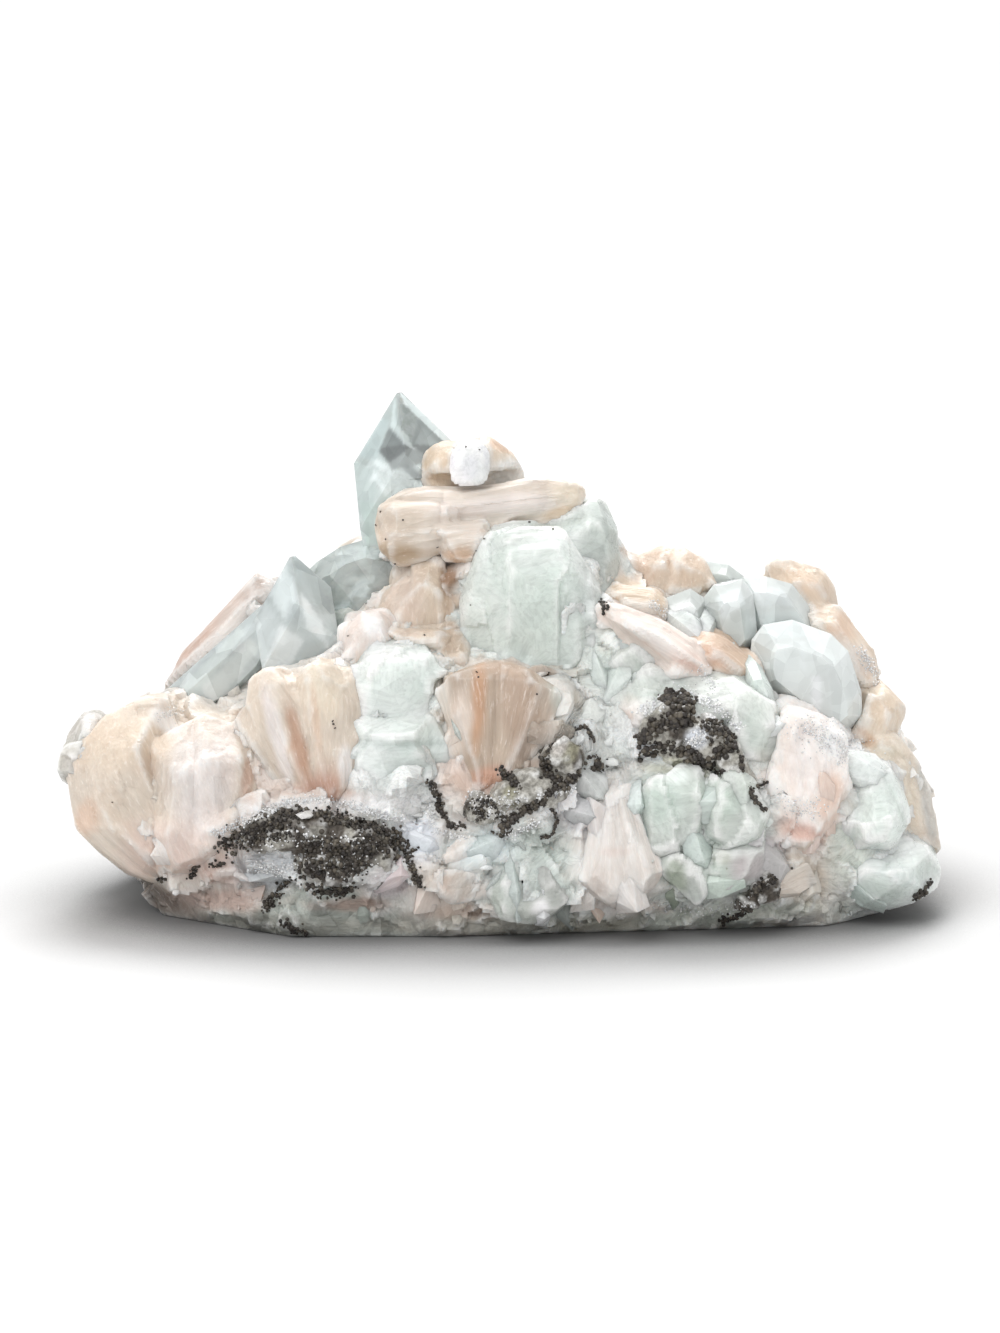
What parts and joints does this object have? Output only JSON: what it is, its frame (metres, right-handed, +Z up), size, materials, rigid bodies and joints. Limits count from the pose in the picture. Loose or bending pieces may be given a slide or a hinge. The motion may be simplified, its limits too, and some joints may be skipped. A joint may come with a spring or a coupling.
{
  "type": "apophyllite cluster",
  "caption": "Mineral cluster: glassy and milky apophyllite crystals with peach stilbite sheaves on a broken matrix lump, rests on its flat foot.",
  "frame": {"origin": "middle of the object's bounding box, at the level of the surface it rests on", "axes": "+Z up, +X along the cluster's length towards its right end as seen from the show side, the show side looks along -Y"},
  "size_m": [0.148, 0.0824, 0.085],
  "materials": {
    "clear_apophyllite": "glassy, clear, faint blue-green",
    "milky_apophyllite": "milky, pale green, vitreous",
    "peach_stilbite": "pearly peach, finely striated",
    "white_stilbite": "pearly white, finely striated",
    "dark_druse": "dark, fine-grained, sparkling",
    "matrix": "broken crystalline, pale grey"
  },
  "bodies": {
    "root": {"apophyllite_block_back_left": "milky_apophyllite", "apophyllite_block_back_right": "milky_apophyllite", "apophyllite_block_centre": "milky_apophyllite", "apophyllite_block_low_centre": "milky_apophyllite", "apophyllite_block_low_right": "milky_apophyllite", "apophyllite_block_middle": "milky_apophyllite", "apophyllite_block_right_back": "clear_apophyllite", "apophyllite_button_top": "milky_apophyllite", "apophyllite_fan_low_left": "milky_apophyllite", "apophyllite_group_right": "clear_apophyllite", "apophyllite_ledge_right": "milky_apophyllite", "apophyllite_lump_far_left": "milky_apophyllite", "apophyllite_pair_left": "clear_apophyllite", "apophyllite_patch_back_left": "milky_apophyllite", "apophyllite_patch_back_right": "milky_apophyllite", "apophyllite_patch_back_top": "clear_apophyllite", "apophyllite_patch_left": "milky_apophyllite", "apophyllite_point_back": "clear_apophyllite", "apophyllite_point_back_low": "clear_apophyllite", "apophyllite_point_top": "clear_apophyllite", "druse_crust_centre": "dark_druse", "druse_crust_left": "dark_druse", "druse_crust_low_right": "dark_druse", "druse_crust_right": "dark_druse", "matrix": "matrix", "stilbite_barrel_centre": "peach_stilbite", "stilbite_blade_left_back": "peach_stilbite", "stilbite_blade_right": "white_stilbite", "stilbite_bow_tie_back": "peach_stilbite", "stilbite_bow_tie_top": "peach_stilbite", "stilbite_fan_back": "peach_stilbite", "stilbite_fan_back_left": "peach_stilbite", "stilbite_fan_centre": "peach_stilbite", "stilbite_fan_left": "peach_stilbite", "stilbite_fan_low_centre": "white_stilbite", "stilbite_fan_right": "peach_stilbite", "stilbite_finger_far_right": "peach_stilbite", "stilbite_finger_right": "peach_stilbite", "stilbite_pair_right": "peach_stilbite", "stilbite_patch_back_centre": "white_stilbite", "stilbite_patch_back_left": "peach_stilbite", "stilbite_patch_back_right": "peach_stilbite", "stilbite_patch_back_top": "peach_stilbite", "stilbite_patch_right": "white_stilbite", "stilbite_sheaf_back_right": "peach_stilbite", "stilbite_stub_left_centre": "white_stilbite", "stilbite_stub_right": "peach_stilbite", "stilbite_tablet_top": "peach_stilbite", "stilbite_twin_sheaf_left": "peach_stilbite", "stilbite_wall_right": "white_stilbite", "stilbite_wedge_low_left": "white_stilbite"}
  },
  "joints": []
}
